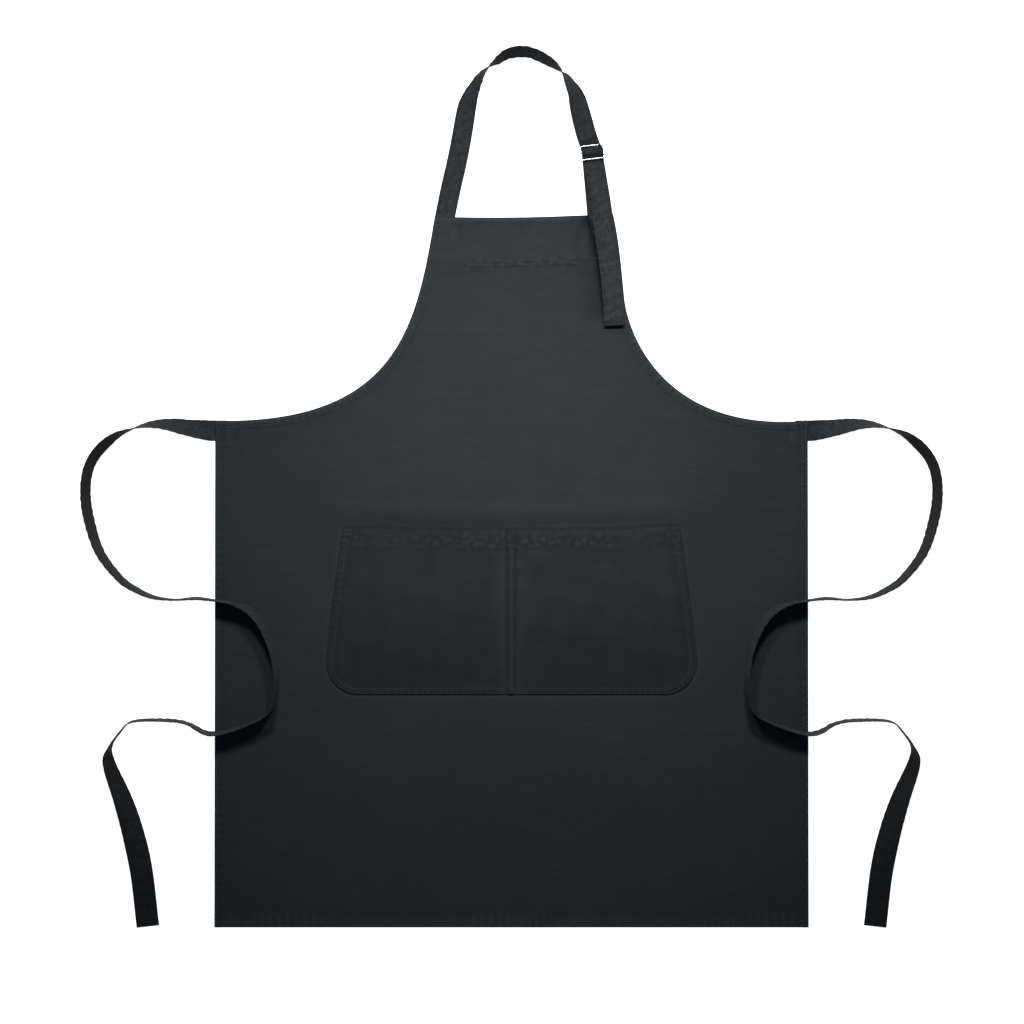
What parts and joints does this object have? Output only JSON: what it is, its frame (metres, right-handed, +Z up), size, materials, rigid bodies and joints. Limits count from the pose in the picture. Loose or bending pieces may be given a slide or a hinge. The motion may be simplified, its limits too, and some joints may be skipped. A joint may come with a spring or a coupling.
{
  "type": "bib apron",
  "caption": "Cloth bib apron laid flat, with a divided front pocket, a neck strap that runs through a metal slider, and long waist ties in loose loops.",
  "frame": {"origin": "centre of the apron's bounding box in plan, on the surface that its back lies on", "axes": "+Y from the hem up to the neck, +X to the right as seen from the front, +Z up out of the apron's front"},
  "size_m": [1.0204, 1.0452, 0.0286],
  "materials": {
    "body_cloth": "dark charcoal twill, matt",
    "tape_cloth": "dark charcoal twill folded into a tape, matt",
    "sewing_thread": "dark grey sewing thread",
    "slider_metal": "bright plated steel"
  },
  "bodies": {
    "skirt": {"skirt_panel": "body_cloth", "pocket_panel": "body_cloth", "left_side_seam": "sewing_thread", "right_side_seam": "sewing_thread", "bottom_hem_seam": "sewing_thread", "pocket_outline_seam": "sewing_thread", "pocket_mouth_seam": "sewing_thread", "pocket_divider_seam": "sewing_thread", "left_pocket_bartack": "sewing_thread", "right_pocket_bartack": "sewing_thread", "left_tie_bartack": "sewing_thread", "right_tie_bartack": "sewing_thread", "left_tie_root": "tape_cloth", "right_tie_root": "tape_cloth"},
    "bib": {"bib_panel": "body_cloth", "facing_seam": "sewing_thread", "left_armhole_seam": "sewing_thread", "right_armhole_seam": "sewing_thread", "left_strap_bartack": "sewing_thread", "right_strap_bartack": "sewing_thread", "neck_strap": "tape_cloth", "slider_loop": "tape_cloth", "slider_loop_seam": "sewing_thread"},
    "slider": {"slider": "slider_metal"},
    "strap_tail": {"strap_tail": "tape_cloth", "tail_end_seam": "sewing_thread"},
    "left_tie": {"left_tie": "tape_cloth", "left_tie_end_seam": "sewing_thread"},
    "right_tie": {"right_tie": "tape_cloth", "right_tie_end_seam": "sewing_thread"}
  },
  "joints": [
    {"name": "bib_fold", "type": "hinge", "parent": "skirt", "child": "bib", "pos_m": [0, 0.104, 0.0035], "axis": [1, 0, 0], "range_deg": [0, 150], "deforming": ["left_armhole_seam", "right_armhole_seam"]},
    {"name": "slider_tilt", "type": "hinge", "parent": "bib", "child": "slider", "pos_m": [0.0958, 0.3972, 0.0041], "axis": [-0.9936, -0.1132, 0], "range_deg": [0, 8]},
    {"name": "strap_adjust", "type": "slide", "parent": "bib", "child": "strap_tail", "axis": [0.107, -0.9943, 0], "range_m": [-0.07, 0.06], "deforming": ["neck_strap"]},
    {"name": "left_tie_lift", "type": "hinge", "parent": "skirt", "child": "left_tie", "pos_m": [-0.35, 0.081, 0.0006], "axis": [-1, 0, 0], "range_deg": [0, 100]},
    {"name": "right_tie_lift", "type": "hinge", "parent": "skirt", "child": "right_tie", "pos_m": [0.35, 0.081, 0.0006], "axis": [-1, 0, 0], "range_deg": [0, 100]}
  ]
}
